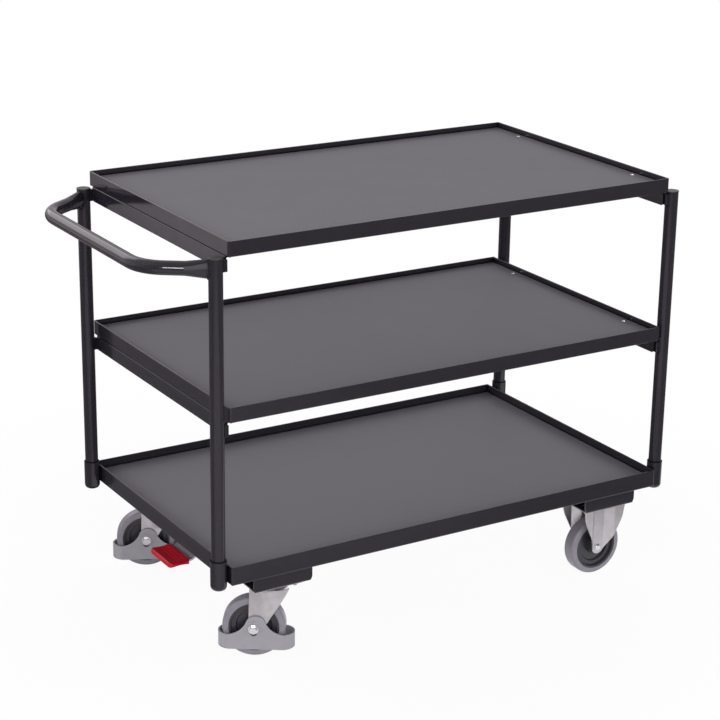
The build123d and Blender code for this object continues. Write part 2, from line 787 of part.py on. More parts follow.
sides = (("front", -caster_y, front_yaw), ("back", caster_y, back_yaw))
save("swivel_plates", *[Pos(swivel_x, y, 0) * swivel_plate() for _, y, _ in sides])
save("kingpins", *[Pos(swivel_x, y, 0) * kingpin() for _, y, _ in sides])
save("swivel_ball_rings", *[Pos(swivel_x, y, 0) * ball_ring() for _, y, _ in sides])
save("fixed_axles", *[Pos(fixed_x, y, 0) * riveted_axle(0) for _, y, _ in sides])
for side, y, yaw in sides:
    swivel = Pos(swivel_x, y, 0) * Rot(0, 0, yaw)
    save(f"{side}_swivel_fork", swivel * swivel_fork())
    save(f"{side}_swivel_axle_bolt", *[swivel * piece for piece in axle_bolt(-trail)])
    save(f"{side}_swivel_axle_tube", swivel * axle_tube(-trail))
    save(f"{side}_foot_guard", swivel * foot_guard())
    save(f"{side}_brake_plunger", swivel * brake_plunger())
    fixed = Pos(fixed_x, y, 0)
    save(f"{side}_fixed_fork", fixed * fixed_fork())
    for kind, place, x in (("swivel", swivel, -trail), ("fixed", fixed, 0)):
        save(f"{side}_{kind}_tyre", place * tyre(x))
        save(f"{side}_{kind}_wheel_centre", place * wheel_centre(x))
        save(f"{side}_{kind}_wheel_bearing", place * wheel_bearing(x))

bush = brake_bush()
finger = brake_finger()
save("brake_shaft_bushes", bush, mirror(bush, about=Plane.XZ))
save("brake_fingers", finger, mirror(finger, about=Plane.XZ))
save("brake_shaft", brake_shaft())
save("brake_lever", lever_plate())
save("brake_pedal", brake_pedal())
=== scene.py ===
import json
from math import asin, cos, pi, radians, sin

import bmesh
import bpy
from mathutils import Matrix, Vector


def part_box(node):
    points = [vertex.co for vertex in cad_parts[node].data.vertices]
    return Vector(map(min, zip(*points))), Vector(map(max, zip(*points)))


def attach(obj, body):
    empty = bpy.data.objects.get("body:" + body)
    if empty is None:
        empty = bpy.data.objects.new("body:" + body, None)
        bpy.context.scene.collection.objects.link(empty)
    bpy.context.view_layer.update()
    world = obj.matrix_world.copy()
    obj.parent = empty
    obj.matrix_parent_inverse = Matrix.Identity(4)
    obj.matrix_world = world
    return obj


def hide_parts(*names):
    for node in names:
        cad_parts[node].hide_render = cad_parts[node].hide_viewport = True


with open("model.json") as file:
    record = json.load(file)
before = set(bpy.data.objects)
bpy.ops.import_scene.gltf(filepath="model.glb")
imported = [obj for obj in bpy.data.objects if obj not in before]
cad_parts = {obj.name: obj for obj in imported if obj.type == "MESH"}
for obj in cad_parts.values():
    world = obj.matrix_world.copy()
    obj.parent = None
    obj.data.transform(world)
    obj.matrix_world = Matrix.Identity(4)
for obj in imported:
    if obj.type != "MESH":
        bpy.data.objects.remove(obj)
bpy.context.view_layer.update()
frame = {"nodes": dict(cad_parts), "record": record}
nodes = frame["nodes"]
scene = bpy.context.scene
print("frame loaded:", len(nodes), "CAD nodes")


def hexColour(value):  # sRGB hex to linear RGBA
    parts = [int(value[i:i + 2], 16) / 255 for i in (1, 3, 5)]
    return [p / 12.92 if p <= 0.04045 else ((p + 0.055) / 1.055) ** 2.4 for p in parts] + [1.0]


def perMetre(mm):  # pattern scale for a feature of that many millimetres
    return 1000.0 / mm


def addNode(material, kind, settings=None, values=None, links=None):
    node = material.node_tree.nodes.new("ShaderNode" + kind)
    for name, value in (settings or {}).items():
        setattr(node, name, value)
    for name, value in (values or {}).items():
        node.inputs[name].default_value = value
    for name, (source, output) in (links or {}).items():
        material.node_tree.links.new(source.outputs[output], node.inputs[name])
    return node


def newMaterial(name, sockets):
    material = bpy.data.materials.new(name)
    material.use_nodes = True
    shader = material.node_tree.nodes["Principled BSDF"]
    for socket, value in sockets.items():
        shader.inputs[socket].default_value = value
    return material, shader


def feed(material, shader, links):  # joins worked-out values to the shader's sockets
    for socket, (source, output) in links.items():
        material.node_tree.links.new(source.outputs[output], shader.inputs[socket])


# Node settings that come up again and again
colourMix = {"data_type": "RGBA"}  # its colours are inputs 6 and 7, and its result is output 2
smooth = {"interpolation_type": "SMOOTHSTEP"}
cells = {"feature": "SMOOTH_F1"}
dotProduct, vectorLength, distance = ({"operation": kind} for kind in ("DOT_PRODUCT", "LENGTH", "DISTANCE"))
larger, product = ({"operation": kind} for kind in ("MAXIMUM", "MULTIPLY"))

# An edge is where the rounded normal leaves the flat one: the edge mark, partly wear and partly painted highlight, is
# full at the first cosine and gone at the second
edgeLook = {"samples": 4, "full": 0.8, "gone": 0.99}

# In each look below, rough holds the least and greatest roughness, bump its strength and bumpM its height

# Powder coat on steel: a thick melted film, so reflections are sharp but ripple with orange peel. Its edges are
# painted a little lighter, partly as the film drawing thin and partly as painted highlight, and the seams between
# bars are painted dark and duller as painted shade
coatLook = {
    "film": "#211f25", "thick": "#1c1a20", "thinAndLit": "#38353c", "seam": "#0c0b0e",
    "peelMm": 2.6, "cloudMm": 45.0, "edgeM": 0.0009, "wearAndHighlight": 0.12,
    "seamM": 0.006, "seamSamples": 8, "seamFull": 0.65, "seamGone": 0.96, "sheen": 0.5,
    "rough": (0.08, 0.17), "bump": 0.12, "bumpM": 0.00012,
}
coat, shader = newMaterial("powderCoatedSteel", {"IOR": 1.5})
place = addNode(coat, "TexCoord")
inPlace = {"Vector": (place, "Object")}
peel = addNode(coat, "TexNoise", None, {"Scale": perMetre(coatLook["peelMm"]), "Detail": 1.0}, inPlace)
cloud = addNode(coat, "TexNoise", None, {"Scale": perMetre(coatLook["cloudMm"]), "Detail": 3.0}, inPlace)
film = addNode(
    coat, "Mix", colourMix, {6: hexColour(coatLook["film"]), 7: hexColour(coatLook["thick"])}, {0: (cloud, 0)},
)
# Painted highlight, partly a real thin film: the coat's edges are painted lighter
rounded = addNode(coat, "Bevel", {"samples": edgeLook["samples"]}, {"Radius": coatLook["edgeM"]})
flat = addNode(coat, "NewGeometry")
facing = addNode(coat, "VectorMath", dotProduct, None, {0: (rounded, 0), 1: (flat, "Normal")})
edge = addNode(
    coat, "MapRange", None,
    {"From Min": edgeLook["full"], "From Max": edgeLook["gone"], "To Min": coatLook["wearAndHighlight"], "To Max": 0.0},
    {"Value": (facing, "Value")},
)
wornAndHighlit = addNode(coat, "Mix", colourMix, {7: hexColour(coatLook["thinAndLit"])}, {0: (edge, 0), 6: (film, 2)})
# Painted shade: where ambient occlusion finds a seam between parts, the coat is painted near-black
pocket = addNode(coat, "AmbientOcclusion", {"samples": coatLook["seamSamples"]}, {"Distance": coatLook["seamM"]})
clear = addNode(
    coat, "MapRange", None,
    {"From Min": coatLook["seamFull"], "From Max": coatLook["seamGone"]}, {"Value": (pocket, "AO")},
)
seamShaded = addNode(coat, "Mix", colourMix, {6: hexColour(coatLook["seam"])}, {0: (clear, 0), 7: (wornAndHighlit, 2)})
# Painted shade: the coat's sheen is turned down in the same seams
sheen = addNode(coat, "MapRange", None, {"To Max": coatLook["sheen"]}, {"Value": (clear, 0)})
gloss = addNode(
    coat, "MapRange", None, {"To Min": coatLook["rough"][0], "To Max": coatLook["rough"][1]}, {"Value": (cloud, 0)},
)
ripple = addNode(
    coat, "Bump", None, {"Strength": coatLook["bump"], "Distance": coatLook["bumpM"]}, {"Height": (peel, 0)},
)
feed(coat, shader, {
    "Base Color": (seamShaded, 2), "Specular IOR Level": (sheen, 0), "Roughness": (gloss, 0), "Normal": (ripple, 0),
})

# Melamine-faced board: printed paper under a pressed pearl texture, so it is even in colour and satin. The pearl
# is drawn at double size so that it shows
boardLook = {
    "face": "#6a676e", "fleck": "#5e5b62", "pearlMm": 1.6, "fleckMm": 0.9, "cloudMm": 120.0,
    "fleckFrom": 0.35, "fleckTo": 0.75, "fleckMost": 0.5, "rough": (0.5, 0.65), "bump": 0.1, "bumpM": 0.0001,
}
board, shader = newMaterial("melamineFacedBoard", {"IOR": 1.5, "Specular IOR Level": 0.05})
place = addNode(board, "TexCoord")
inPlace = {"Vector": (place, "Object")}
pearl = addNode(board, "TexVoronoi", cells, {"Scale": perMetre(boardLook["pearlMm"])}, inPlace)
fleck = addNode(board, "TexNoise", None, {"Scale": perMetre(boardLook["fleckMm"]), "Detail": 2.0}, inPlace)
cloud = addNode(board, "TexNoise", None, {"Scale": perMetre(boardLook["cloudMm"]), "Detail": 4.0}, inPlace)
printed = addNode(
    board, "MapRange", None,
    {"From Min": boardLook["fleckFrom"], "From Max": boardLook["fleckTo"], "To Max": boardLook["fleckMost"]},
    {"Value": (fleck, 0)},
)
face = addNode(
    board, "Mix", colourMix, {6: hexColour(boardLook["face"]), 7: hexColour(boardLook["fleck"])}, {0: (printed, 0)},
)
satin = addNode(
    board, "MapRange", None, {"To Min": boardLook["rough"][0], "To Max": boardLook["rough"][1]}, {"Value": (cloud, 0)},
)
press = addNode(
    board, "Bump", None, {"Strength": boardLook["bump"], "Distance": boardLook["bumpM"]}, {"Height": (pearl, 0)},
)
feed(board, shader, {"Base Color": (face, 2), "Roughness": (satin, 0), "Normal": (press, 0)})

# Bright zinc plating on pressed steel: cloudy pale metal with faint rolling streaks, its edges painted brighter, partly
# as rubbed wear and partly as painted highlight
zincLook = {
    "bright": "#cdc9cd", "dull": "#aeaaae", "rubbedAndHighlit": "#e0dde0", "cloudMm": 16.0, "streakMm": 1.2,
    "stretch": (1.0, 1.0, 0.06), "edgeM": 0.0008, "wearAndHighlight": 0.8, "rough": (0.3, 0.48), "bump": 0.08, "bumpM": 0.0001,
}
zinc, shader = newMaterial("zincPlatedSteel", {"Metallic": 1.0})
place = addNode(zinc, "TexCoord")
inPlace = {"Vector": (place, "Object")}
along = addNode(zinc, "Mapping", None, {"Scale": zincLook["stretch"]}, inPlace)
streak = addNode(
    zinc, "TexNoise", None, {"Scale": perMetre(zincLook["streakMm"]), "Detail": 2.0}, {"Vector": (along, 0)},
)
cloud = addNode(zinc, "TexNoise", None, {"Scale": perMetre(zincLook["cloudMm"]), "Detail": 4.0}, inPlace)
plating = addNode(
    zinc, "Mix", colourMix, {6: hexColour(zincLook["bright"]), 7: hexColour(zincLook["dull"])}, {0: (cloud, 0)},
)
# Painted highlight, partly real rubbing: the plating's edges are painted brighter
rounded = addNode(zinc, "Bevel", {"samples": edgeLook["samples"]}, {"Radius": zincLook["edgeM"]})
flat = addNode(zinc, "NewGeometry")
facing = addNode(zinc, "VectorMath", dotProduct, None, {0: (rounded, 0), 1: (flat, "Normal")})
edge = addNode(
    zinc, "MapRange", None,
    {"From Min": edgeLook["full"], "From Max": edgeLook["gone"], "To Min": zincLook["wearAndHighlight"], "To Max": 0.0},
    {"Value": (facing, "Value")},
)
rubbedAndHighlit = addNode(zinc, "Mix", colourMix, {7: hexColour(zincLook["rubbedAndHighlit"])}, {0: (edge, 0), 6: (plating, 2)})
satin = addNode(
    zinc, "MapRange", None, {"To Min": zincLook["rough"][0], "To Max": zincLook["rough"][1]}, {"Value": (cloud, 0)},
)
rolled = addNode(
    zinc, "Bump", None, {"Strength": zincLook["bump"], "Distance": zincLook["bumpM"]}, {"Height": (streak, 0)},
)
feed(zinc, shader, {"Base Color": (rubbedAndHighlit, 2), "Roughness": (satin, 0), "Normal": (rolled, 0)})

# Bright zinc on turned fasteners: smoother than the pressings and painted lighter than their zinc as a painted
# highlight, so heads flash nearly white
fastenerLook = {
    "bright": "#e6e5e8", "tarnish": "#c9c7cc", "cloudMm": 4.0, "turnMm": 0.8,
    "rough": (0.16, 0.3), "bump": 0.05, "bumpM": 0.00005,
}
fastener, shader = newMaterial("brightZincFasteners", {"Metallic": 1.0})
place = addNode(fastener, "TexCoord")
inPlace = {"Vector": (place, "Object")}
cloud = addNode(fastener, "TexNoise", None, {"Scale": perMetre(fastenerLook["cloudMm"]), "Detail": 3.0}, inPlace)
turnMark = addNode(fastener, "TexNoise", None, {"Scale": perMetre(fastenerLook["turnMm"]), "Detail": 1.0}, inPlace)
plating = addNode(
    fastener, "Mix", colourMix,
    {6: hexColour(fastenerLook["bright"]), 7: hexColour(fastenerLook["tarnish"])}, {0: (cloud, 0)},
)
shine = addNode(
    fastener, "MapRange", None,
    {"To Min": fastenerLook["rough"][0], "To Max": fastenerLook["rough"][1]}, {"Value": (cloud, 0)},
)
turning = addNode(
    fastener, "Bump", None,
    {"Strength": fastenerLook["bump"], "Distance": fastenerLook["bumpM"]}, {"Height": (turnMark, 0)},
)
feed(fastener, shader, {"Base Color": (plating, 2), "Roughness": (shine, 0), "Normal": (turning, 0)})

# Ground bearing steel: fine grinding lines over an oily grey metal
bearingLook = {
    "steel": "#b9b8bb", "oiled": "#8c8a8d", "lineMm": 0.8, "cloudMm": 9.0,
    "rough": (0.2, 0.4), "bump": 0.1, "bumpM": 0.00008,
}
bearing, shader = newMaterial("groundBearingSteel", {"Metallic": 1.0})
place = addNode(bearing, "TexCoord")
inPlace = {"Vector": (place, "Object")}
line = addNode(bearing, "TexNoise", None, {"Scale": perMetre(bearingLook["lineMm"]), "Detail": 2.0}, inPlace)
cloud = addNode(bearing, "TexNoise", None, {"Scale": perMetre(bearingLook["cloudMm"]), "Detail": 3.0}, inPlace)
steel = addNode(
    bearing, "Mix", colourMix,
    {6: hexColour(bearingLook["steel"]), 7: hexColour(bearingLook["oiled"])}, {0: (cloud, 0)},
)
satin = addNode(
    bearing, "MapRange", None,
    {"To Min": bearingLook["rough"][0], "To Max": bearingLook["rough"][1]}, {"Value": (line, 0)},
)
ground = addNode(
    bearing, "Bump", None,
    {"Strength": bearingLook["bump"], "Distance": bearingLook["bumpM"]}, {"Height": (line, 0)},
)
feed(bearing, shader, {"Base Color": (steel, 2), "Roughness": (satin, 0), "Normal": (ground, 0)})

# Thermoplastic elastomer tyre: even non-marking grey with a soft sheen, and a bloom of dust in a fine moulded grain
tyreLook = {
    "rubber": "#726f78", "dust": "#69666e", "grainMm": 1.1, "scuffMm": 9.0,
    "dustFrom": 0.4, "dustTo": 0.75, "dustMost": 0.8, "rough": (0.26, 0.38), "bump": 0.1, "bumpM": 0.0002,
}
tyre, shader = newMaterial("greyElastomer", {"IOR": 1.5, "Specular IOR Level": 0.6})
place = addNode(tyre, "TexCoord")
inPlace = {"Vector": (place, "Object")}
grain = addNode(tyre, "TexNoise", None, {"Scale": perMetre(tyreLook["grainMm"]), "Detail": 3.0}, inPlace)
scuff = addNode(tyre, "TexNoise", None, {"Scale": perMetre(tyreLook["scuffMm"]), "Detail": 5.0}, inPlace)
bloom = addNode(
    tyre, "MapRange", None,
    {"From Min": tyreLook["dustFrom"], "From Max": tyreLook["dustTo"], "To Max": tyreLook["dustMost"]},
    {"Value": (scuff, 0)},
)
rubber = addNode(
    tyre, "Mix", colourMix, {6: hexColour(tyreLook["rubber"]), 7: hexColour(tyreLook["dust"])}, {0: (bloom, 0)},
)
satin = addNode(
    tyre, "MapRange", None, {"To Min": tyreLook["rough"][0], "To Max": tyreLook["rough"][1]}, {"Value": (scuff, 0)},
)
mould = addNode(
    tyre, "Bump", None, {"Strength": tyreLook["bump"], "Distance": tyreLook["bumpM"]}, {"Height": (grain, 0)},
)
feed(tyre, shader, {"Base Color": (rubber, 2), "Roughness": (satin, 0), "Normal": (mould, 0)})

# Moulded polypropylene wheel centre: waxy near-black with flow marks and a light stipple
wheelLook = {
    "resin": "#26242a", "flow": "#2d2b31", "stippleMm": 0.9, "flowMm": 18.0, "swirl": 1.5,
    "rough": (0.24, 0.36), "bump": 0.15, "bumpM": 0.00015,
}
wheel, shader = newMaterial("mouldedPolypropylene", {"IOR": 1.49})
place = addNode(wheel, "TexCoord")
inPlace = {"Vector": (place, "Object")}
stipple = addNode(wheel, "TexNoise", None, {"Scale": perMetre(wheelLook["stippleMm"]), "Detail": 2.0}, inPlace)
flow = addNode(
    wheel, "TexNoise", None,
    {"Scale": perMetre(wheelLook["flowMm"]), "Detail": 2.0, "Distortion": wheelLook["swirl"]}, inPlace,
)
resin = addNode(
    wheel, "Mix", colourMix, {6: hexColour(wheelLook["resin"]), 7: hexColour(wheelLook["flow"])}, {0: (flow, 0)},
)
wax = addNode(
    wheel, "MapRange", None, {"To Min": wheelLook["rough"][0], "To Max": wheelLook["rough"][1]}, {"Value": (flow, 0)},
)
skin = addNode(
    wheel, "Bump", None, {"Strength": wheelLook["bump"], "Distance": wheelLook["bumpM"]}, {"Height": (stipple, 0)},
)
feed(wheel, shader, {"Base Color": (resin, 2), "Roughness": (wax, 0), "Normal": (skin, 0)})

# Glass-filled polyamide guard: pale grey, satin, spark-eroded skin, paler along its edges, partly as rubbed wear and
# partly as painted highlight
guardLook = {
    "resin": "#86848a", "flow": "#7e7c82", "rubbedAndHighlit": "#98969b", "stippleMm": 1.0, "flowMm": 22.0, "swirl": 1.0,
    "edgeM": 0.0009, "wearAndHighlight": 0.6, "rough": (0.38, 0.55), "bump": 0.12, "bumpM": 0.00015,
}
guard, shader = newMaterial("greyPolyamide", {"IOR": 1.53})
place = addNode(guard, "TexCoord")
inPlace = {"Vector": (place, "Object")}
stipple = addNode(guard, "TexVoronoi", cells, {"Scale": perMetre(guardLook["stippleMm"])}, inPlace)
flow = addNode(
    guard, "TexNoise", None,
    {"Scale": perMetre(guardLook["flowMm"]), "Detail": 3.0, "Distortion": guardLook["swirl"]}, inPlace,
)
resin = addNode(
    guard, "Mix", colourMix, {6: hexColour(guardLook["resin"]), 7: hexColour(guardLook["flow"])}, {0: (flow, 0)},
)
# Painted highlight, partly real rubbing: the guard's edges are painted paler
rounded = addNode(guard, "Bevel", {"samples": edgeLook["samples"]}, {"Radius": guardLook["edgeM"]})
flat = addNode(guard, "NewGeometry")
facing = addNode(guard, "VectorMath", dotProduct, None, {0: (rounded, 0), 1: (flat, "Normal")})
edge = addNode(
    guard, "MapRange", None,
    {"From Min": edgeLook["full"], "From Max": edgeLook["gone"], "To Min": guardLook["wearAndHighlight"], "To Max": 0.0},
    {"Value": (facing, "Value")},
)
rubbedAndHighlit = addNode(guard, "Mix", colourMix, {7: hexColour(guardLook["rubbedAndHighlit"])}, {0: (edge, 0), 6: (resin, 2)})
satin = addNode(
    guard, "MapRange", None, {"To Min": guardLook["rough"][0], "To Max": guardLook["rough"][1]}, {"Value": (flow, 0)},
)
skin = addNode(
    guard, "Bump", None, {"Strength": guardLook["bump"], "Distance": guardLook["bumpM"]}, {"Height": (stipple, 0)},
)
feed(guard, shader, {"Base Color": (rubbedAndHighlit, 2), "Roughness": (satin, 0), "Normal": (skin, 0)})

# Black polyethylene caps and bushes: soft sheen with a moulded stipple
capLook = {
    "resin": "#1b1b1d", "sheen": "#252528", "stippleMm": 0.9, "flowMm": 12.0,
    "rough": (0.28, 0.45), "bump": 0.12, "bumpM": 0.00012,
}
cap, shader = newMaterial("blackPolyethylene", {"IOR": 1.51})
place = addNode(cap, "TexCoord")
inPlace = {"Vector": (place, "Object")}
stipple = addNode(cap, "TexNoise", None, {"Scale": perMetre(capLook["stippleMm"]), "Detail": 2.0}, inPlace)
flow = addNode(cap, "TexNoise", None, {"Scale": perMetre(capLook["flowMm"]), "Detail": 2.0}, inPlace)
resin = addNode(
    cap, "Mix", colourMix, {6: hexColour(capLook["resin"]), 7: hexColour(capLook["sheen"])}, {0: (flow, 0)},
)
satin = addNode(
    cap, "MapRange", None, {"To Min": capLook["rough"][0], "To Max": capLook["rough"][1]}, {"Value": (flow, 0)},
)
skin = addNode(
    cap, "Bump", None, {"Strength": capLook["bump"], "Distance": capLook["bumpM"]}, {"Height": (stipple, 0)},
)
feed(cap, shader, {"Base Color": (resin, 2), "Roughness": (satin, 0), "Normal": (skin, 0)})

# Red ABS pedal: glossy moulding with a fine grain, scuffed duller where shoes rub
pedalLook = {
    "resin": "#b20a20", "scuffed": "#9a081b", "grainMm": 1.0, "scuffMm": 7.0,
    "rough": (0.2, 0.42), "bump": 0.15, "bumpM": 0.00015,
}
pedal, shader = newMaterial("redAbs", {"IOR": 1.54, "Specular IOR Level": 0.22})
place = addNode(pedal, "TexCoord")
inPlace = {"Vector": (place, "Object")}
grain = addNode(pedal, "TexNoise", None, {"Scale": perMetre(pedalLook["grainMm"]), "Detail": 2.0}, inPlace)
scuff = addNode(pedal, "TexNoise", None, {"Scale": perMetre(pedalLook["scuffMm"]), "Detail": 4.0}, inPlace)
resin = addNode(
    pedal, "Mix", colourMix, {6: hexColour(pedalLook["resin"]), 7: hexColour(pedalLook["scuffed"])}, {0: (scuff, 0)},
)
gloss = addNode(
    pedal, "MapRange", None, {"To Min": pedalLook["rough"][0], "To Max": pedalLook["rough"][1]}, {"Value": (scuff, 0)},
)
skin = addNode(
    pedal, "Bump", None, {"Strength": pedalLook["bump"], "Distance": pedalLook["bumpM"]}, {"Height": (grain, 0)},
)
feed(pedal, shader, {"Base Color": (resin, 2), "Roughness": (gloss, 0), "Normal": (skin, 0)})

finishes = {
    "frame_coat": coat, "shelf_board": board, "zinc": zinc, "bearing_steel": bearing, "tyre_grey": tyre,
    "wheel_plastic": wheel, "guard_grey": guard, "black_plastic": cap, "pedal_red": pedal,
}
# These fasteners get the lighter copy of the zinc, a painted highlight as well as a smoother finish
brightNodes = (
    "shelf_screws", "shelf_nuts", "caster_bolts", "caster_nuts", "fixed_axles",
    "front_swivel_axle_bolt", "back_swivel_axle_bolt",
)
slotOf = {part["node"]: part["material_slot"] for part in frame["record"]["subparts"]}
for name, node in nodes.items():
    node.data.materials.clear()
    node.data.materials.append(fastener if name in brightNodes else finishes[slotOf[name]])
print("finishes set on CAD nodes")


def addPiece(name, mesh, body, slot):
    data = bpy.data.meshes.new(name)
    mesh.normal_update()
    mesh.to_mesh(data)
    mesh.free()
    data.materials.append(finishes[slot])
    data.shade_smooth()
    piece = bpy.data.objects.new(name, data)
    scene.collection.objects.link(piece)
    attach(piece, body)
    return piece


# A weld bead is a round run of overlapping ripples, sunk halfway into the corner it fills. A straight run starts
# and ends at the tip's share of its radius
beadLook = {"step": 0.0005, "leastSteps": 4, "ripple": 0.0021, "swell": 0.14, "tip": 0.35, "sides": 10}


def weldBead(mesh, route, radius, closed=False):
    points = [Vector(p) for p in route]
    if not closed:  # straight runs are cut into short steps
        start, end = points[0], points[-1]
        count = max(int((end - start).length / beadLook["step"]), beadLook["leastSteps"])
        points = [start.lerp(end, i / count) for i in range(count + 1)]
    last = len(points) - 1
    travelled = 0.0
    rings = []
    for i, point in enumerate(points):
        before = points[i - 1] if i or closed else point
        after = points[(i + 1) % len(points)] if i < last or closed else point
        ahead = (after - before).normalized()
        if rings:  # carried on from the ring before, so the bead doesn't twist
            side = (side - side.dot(ahead) * ahead).normalized()
        else:
            side = ahead.orthogonal().normalized()
        up = ahead.cross(side)
        travelled += (point - before).length
        size = radius * (1 + beadLook["swell"] * sin(2 * pi * travelled / beadLook["ripple"]))
        if not closed:  # the ends round off
            size *= min(1.0, beadLook["tip"] + min(i, last - i) * beadLook["step"] / radius)
        ring = []
        for k in range(beadLook["sides"]):
            turn = 2 * pi * k / beadLook["sides"]
            ring.append(mesh.verts.new(point + (side * cos(turn) + up * sin(turn)) * size))
        rings.append(ring)
    pairs = list(zip(rings, rings[1:]))
    if closed:
        pairs.append((rings[-1], rings[0]))
    for low, high in pairs:
        for k in range(beadLook["sides"]):
            n = (k + 1) % beadLook["sides"]
            mesh.faces.new((low[k], low[n], high[n], high[k]))
    if not closed:
        mesh.faces.new(list(reversed(rings[0])))
        mesh.faces.new(rings[-1])


postNames = {"handle": ("front_handle_post", "back_handle_post"), "far": ("front_far_post", "back_far_post")}
postAt = {}
for pair in postNames.values():
    for name in pair:
        low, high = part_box(name)
        postAt[name] = (low + high) / 2
        postRadius = (high.y - low.y) / 2

# The pads between crossbars and posts are welded down both sides, to the crossbar and to the post
padLook = {"half": 0.006, "margin": 0.0045, "height": 0.0235, "bead": 0.0015}
crossbarWelds = bmesh.new()
for level in ("top", "middle"):
    low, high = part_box(level + "_end_rails")
    for end, pair in postNames.items():
        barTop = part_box(f"{level}_{end}_crossbar")[1].z
        railFace = low.x if end == "handle" else high.x
        for name in pair:
            post = postAt[name]
            inward = 1 if railFace > post.x else -1
            for side in (-1, 1):
                y = post.y + side * padLook["half"]
                onPost = post.x + inward * postRadius * cos(asin(padLook["half"] / postRadius))
                for x in (railFace, onPost):
                    foot = (x, y, barTop - padLook["margin"] - padLook["height"])
                    weldBead(crossbarWelds, [foot, (x, y, barTop - padLook["margin"])], padLook["bead"])
addPiece("crossbarWelds", crossbarWelds, "chassis", "frame_coat")

# The sleeves are welded down both sides against the bottom frame
sleeveLook = {"offset": 0.0078, "proud": 0.0004, "bead": 0.0021, "below": 0.0045, "above": 0.003}
sleeveWelds = bmesh.new()
low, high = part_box("bottom_end_rails")
for end, pair in postNames.items():
    railFace = low.x - sleeveLook["proud"] if end == "handle" else high.x + sleeveLook["proud"]
    for name in pair:
        for side in (-1, 1):
            y = postAt[name].y + side * sleeveLook["offset"]
            foot = (railFace, y, low.z + sleeveLook["below"])
            weldBead(sleeveWelds, [foot, (railFace, y, high.z - sleeveLook["above"])], sleeveLook["bead"])
addPiece("sleeveWelds", sleeveWelds, "chassis", "frame_coat")

# The handle's pressed ends are welded all round against the posts
handleLook = {"lean": 34.0, "halfWide": 0.0089, "halfTall": 0.0184, "bead": 0.0018, "steps": 180}
handleWelds = bmesh.new()
low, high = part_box("push_handle")
grip = (low.z + high.z) / 2
for name in postNames["handle"]:
    post = postAt[name]
    inward = 1 if post.y < 0 else -1
    route = []
    for k in range(handleLook["steps"]):
        t = 2 * pi * k / handleLook["steps"]
        turn = radians(180 - inward * handleLook["lean"]) + asin(handleLook["halfWide"] * cos(t) / postRadius)
        x = post.x + postRadius * cos(turn)
        y = post.y + postRadius * sin(turn)
        route.append((x, y, grip + handleLook["halfTall"] * sin(t)))
    weldBead(handleWelds, route, handleLook["bead"], closed=True)
addPiece("handleWelds", handleWelds, "chassis", "frame_coat")

# Rails are welded along their mitres from below
mitreLook = {"start": 0.003, "bead": 0.0013, "reach": {"top": 0.013, "middle": 0.013, "bottom": 0.028}}
mitreWelds = bmesh.new()
for level, reach in mitreLook["reach"].items():
    low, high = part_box(level + "_long_rails")
    for x, inX in ((low.x, 1), (high.x, -1)):
        for y, inY in ((low.y, 1), (high.y, -1)):
            ends = [(x + inX * d, y + inY * d, low.z) for d in (mitreLook["start"], reach)]
            weldBead(mitreWelds, ends, mitreLook["bead"])
addPiece("mitreWelds", mitreWelds, "chassis", "frame_coat")

# The channel brackets are stitched under the bottom frame
stitchLook = {"length": 0.022, "bead": 0.0016, "at": (0.16, 0.5, 0.84)}
stitchWelds = bmesh.new()
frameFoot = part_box("bottom_long_rails")[0].z
for name in ("swivel_brackets", "fixed_brackets"):
    low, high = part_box(name)
    for y in (low.y, high.y):
        for share in stitchLook["at"]:
            x = low.x + share * (high.x - low.x)
            half = stitchLook["length"] / 2
            weldBead(stitchWelds, [(x - half, y, frameFoot), (x + half, y, frameFoot)], stitchLook["bead"])
addPiece("bracketWelds", stitchWelds, "chassis", "frame_coat")
print("welds laid")

# Shelf screws: raised countersunk heads with a tapered cross recess, each stopped at another angle (radians)
screwLook = {
    "head": 0.0047, "shank": 0.00245, "rise": 0.0014, "dome": (0.85, 0.7, 0.55, 0.4, 0.25), "sides": 40,
    "recess": 0.0026, "blade": 0.0007, "deep": 0.0018, "taper": 0.55, "firstTurn": 0.4, "nextTurn": 0.9, "crease": 30.0,
}
low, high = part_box("shelf_screws")
tops = [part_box(level + "_board")[1].z for level in ("top", "middle")]
length = tops[1] - low.z
slope = screwLook["head"] - screwLook["shank"]
turned = [(0.0, -length), (screwLook["shank"], -length), (screwLook["shank"], -slope), (screwLook["head"], 0.0)]
for share in screwLook["dome"]:  # the head's raised top, from its rim inwards
    turned.append((screwLook["head"] * share, screwLook["rise"] * (1 - share ** 2)))
turned.append((0.0, screwLook["rise"]))


def turnedSolid(profile, sides):  # a closed profile of radius and height, turned about Z
    mesh = bmesh.new()
    rings = []
    for radius, z in profile:
        spread = sides if radius else 1
        ring = [(radius * cos(2 * pi * k / sides), radius * sin(2 * pi * k / sides), z) for k in range(spread)]
        rings.append([mesh.verts.new(p) for p in ring])
    for low, high in zip(rings, rings[1:]):
        for k in range(sides):
            n = (k + 1) % sides
            corners = [low[k % len(low)], low[n % len(low)], high[n % len(high)], high[k % len(high)]]
            mesh.faces.new(list(dict.fromkeys(corners)))
    return mesh


def cutMesh(solid, cutter):  # what is left of the first mesh outside the second
    objects = []
    for mesh in (solid, cutter):
        data = bpy.data.meshes.new("blank")
        mesh.to_mesh(data)
        mesh.free()
        objects.append(bpy.data.objects.new("blank", data))
        scene.collection.objects.link(objects[-1])
    cut = objects[0].modifiers.new("cut", "BOOLEAN")
    cut.object = objects[1]
    cut.solver = "EXACT"
    made = bpy.data.meshes.new_from_object(objects[0].evaluated_get(bpy.context.evaluated_depsgraph_get()))
    result = bmesh.new()
    result.from_mesh(made)
    for blank in objects:
        bpy.data.objects.remove(blank)
    return result


